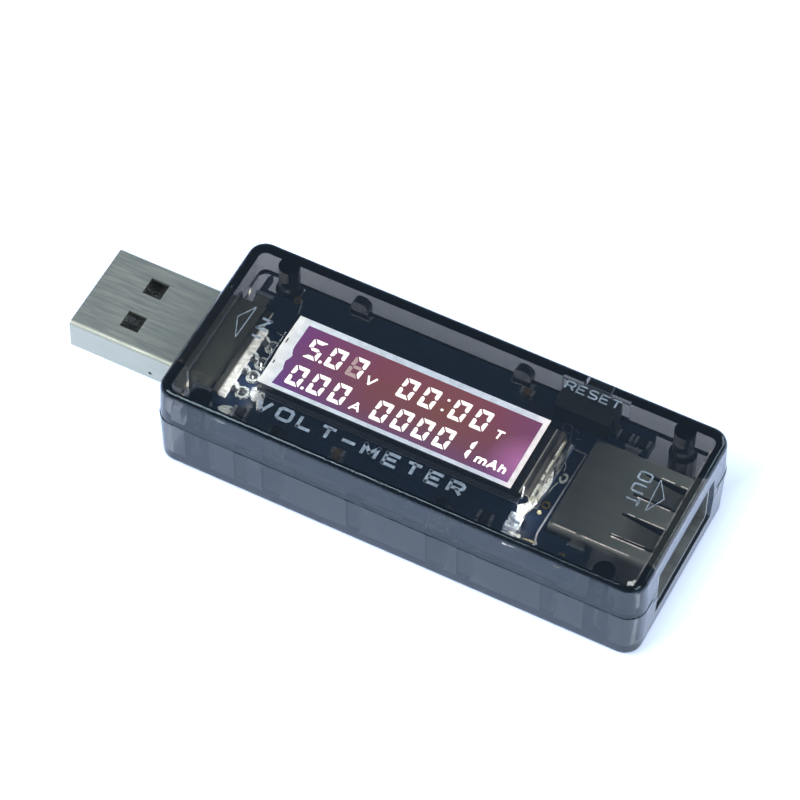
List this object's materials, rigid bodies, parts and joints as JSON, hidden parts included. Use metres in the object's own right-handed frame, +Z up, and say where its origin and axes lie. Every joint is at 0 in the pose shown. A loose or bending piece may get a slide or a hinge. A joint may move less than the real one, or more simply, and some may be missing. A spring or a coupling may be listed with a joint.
{
  "type": "usb power meter",
  "caption": "In-line USB power meter: a smoke-clear case with a backlit display, a plug at one end, a socket at the other and a reset button on its side.",
  "frame": {"origin": "centre of the case's flat underside", "axes": "+X from the plug to the socket, +Y towards the reset button's side, +Z up out of the display"},
  "size_m": [0.0732, 0.0249, 0.0128],
  "materials": {
    "smoke_plastic": "clear smoke-tinted moulded plastic, gloss",
    "board_mask": "dark blue solder mask, gloss",
    "gold_plate": "thin gold plating",
    "plug_steel": "nickel-plated sheet, satin",
    "socket_steel": "nickel-plated sheet, satin",
    "white_plastic": "white moulded plastic",
    "black_plastic": "black moulded plastic",
    "contact_metal": "plated spring alloy",
    "solder": "bright solder",
    "display_glass": "clear glass",
    "polariser_film": "neutral film, looks violet to red over the backlight",
    "light_guide_acrylic": "clear acrylic, lit white",
    "white_film": "white film",
    "sealing_resin": "cured clear resin",
    "flex_film": "clear film with fine printed conductors",
    "led_package": "white package with yellow phosphor",
    "switch_plastic": "black moulded plastic",
    "switch_metal": "plated sheet",
    "chip_moulding": "black moulded package",
    "resistor_ceramic": "black coated ceramic",
    "capacitor_ceramic": "tan ceramic",
    "tantalum_case": "ochre moulded case",
    "can_metal": "drawn can",
    "tin_plate": "tinned leads"
  },
  "bodies": {
    "meter": {"top_cover": "smoke_plastic", "bottom_cover": "smoke_plastic", "circuit_board": "board_mask", "via_rings": "gold_plate", "plug_shell": "plug_steel", "plug_insulator": "white_plastic", "plug_contacts": "contact_metal", "plug_joints": "solder", "socket_shell": "socket_steel", "socket_insulator": "black_plastic", "socket_contacts": "contact_metal", "socket_joints": "solder", "backlight_reflector": "white_film", "light_guide": "light_guide_acrylic", "rear_polariser": "polariser_film", "rear_glass": "display_glass", "front_glass": "display_glass", "front_polariser": "polariser_film", "glass_seal": "sealing_resin", "display_flex": "flex_film", "backlight_leds": "led_package", "switch_body": "switch_plastic", "switch_plate": "switch_metal", "switch_dome": "switch_metal", "chip_terminals": "tin_plate", "chip_resistors": "resistor_ceramic", "chip_capacitors": "capacitor_ceramic", "shunt_resistor": "resistor_ceramic", "reservoir_capacitor": "tantalum_case", "controller_chip": "chip_moulding", "metering_chip": "chip_moulding", "memory_chip": "chip_moulding", "voltage_regulator": "chip_moulding", "chip_leads": "tin_plate", "timing_crystal": "can_metal"},
    "reset_button": {"switch_knob": "switch_plastic"}
  },
  "joints": [
    {"name": "reset_press", "type": "slide", "parent": "meter", "child": "reset_button", "axis": [0, -1, 0], "range_m": [0, 0.00025], "stiffness_N_per_m": 3000, "springref_m": -0.00015, "deforming": ["switch_dome"]}
  ]
}
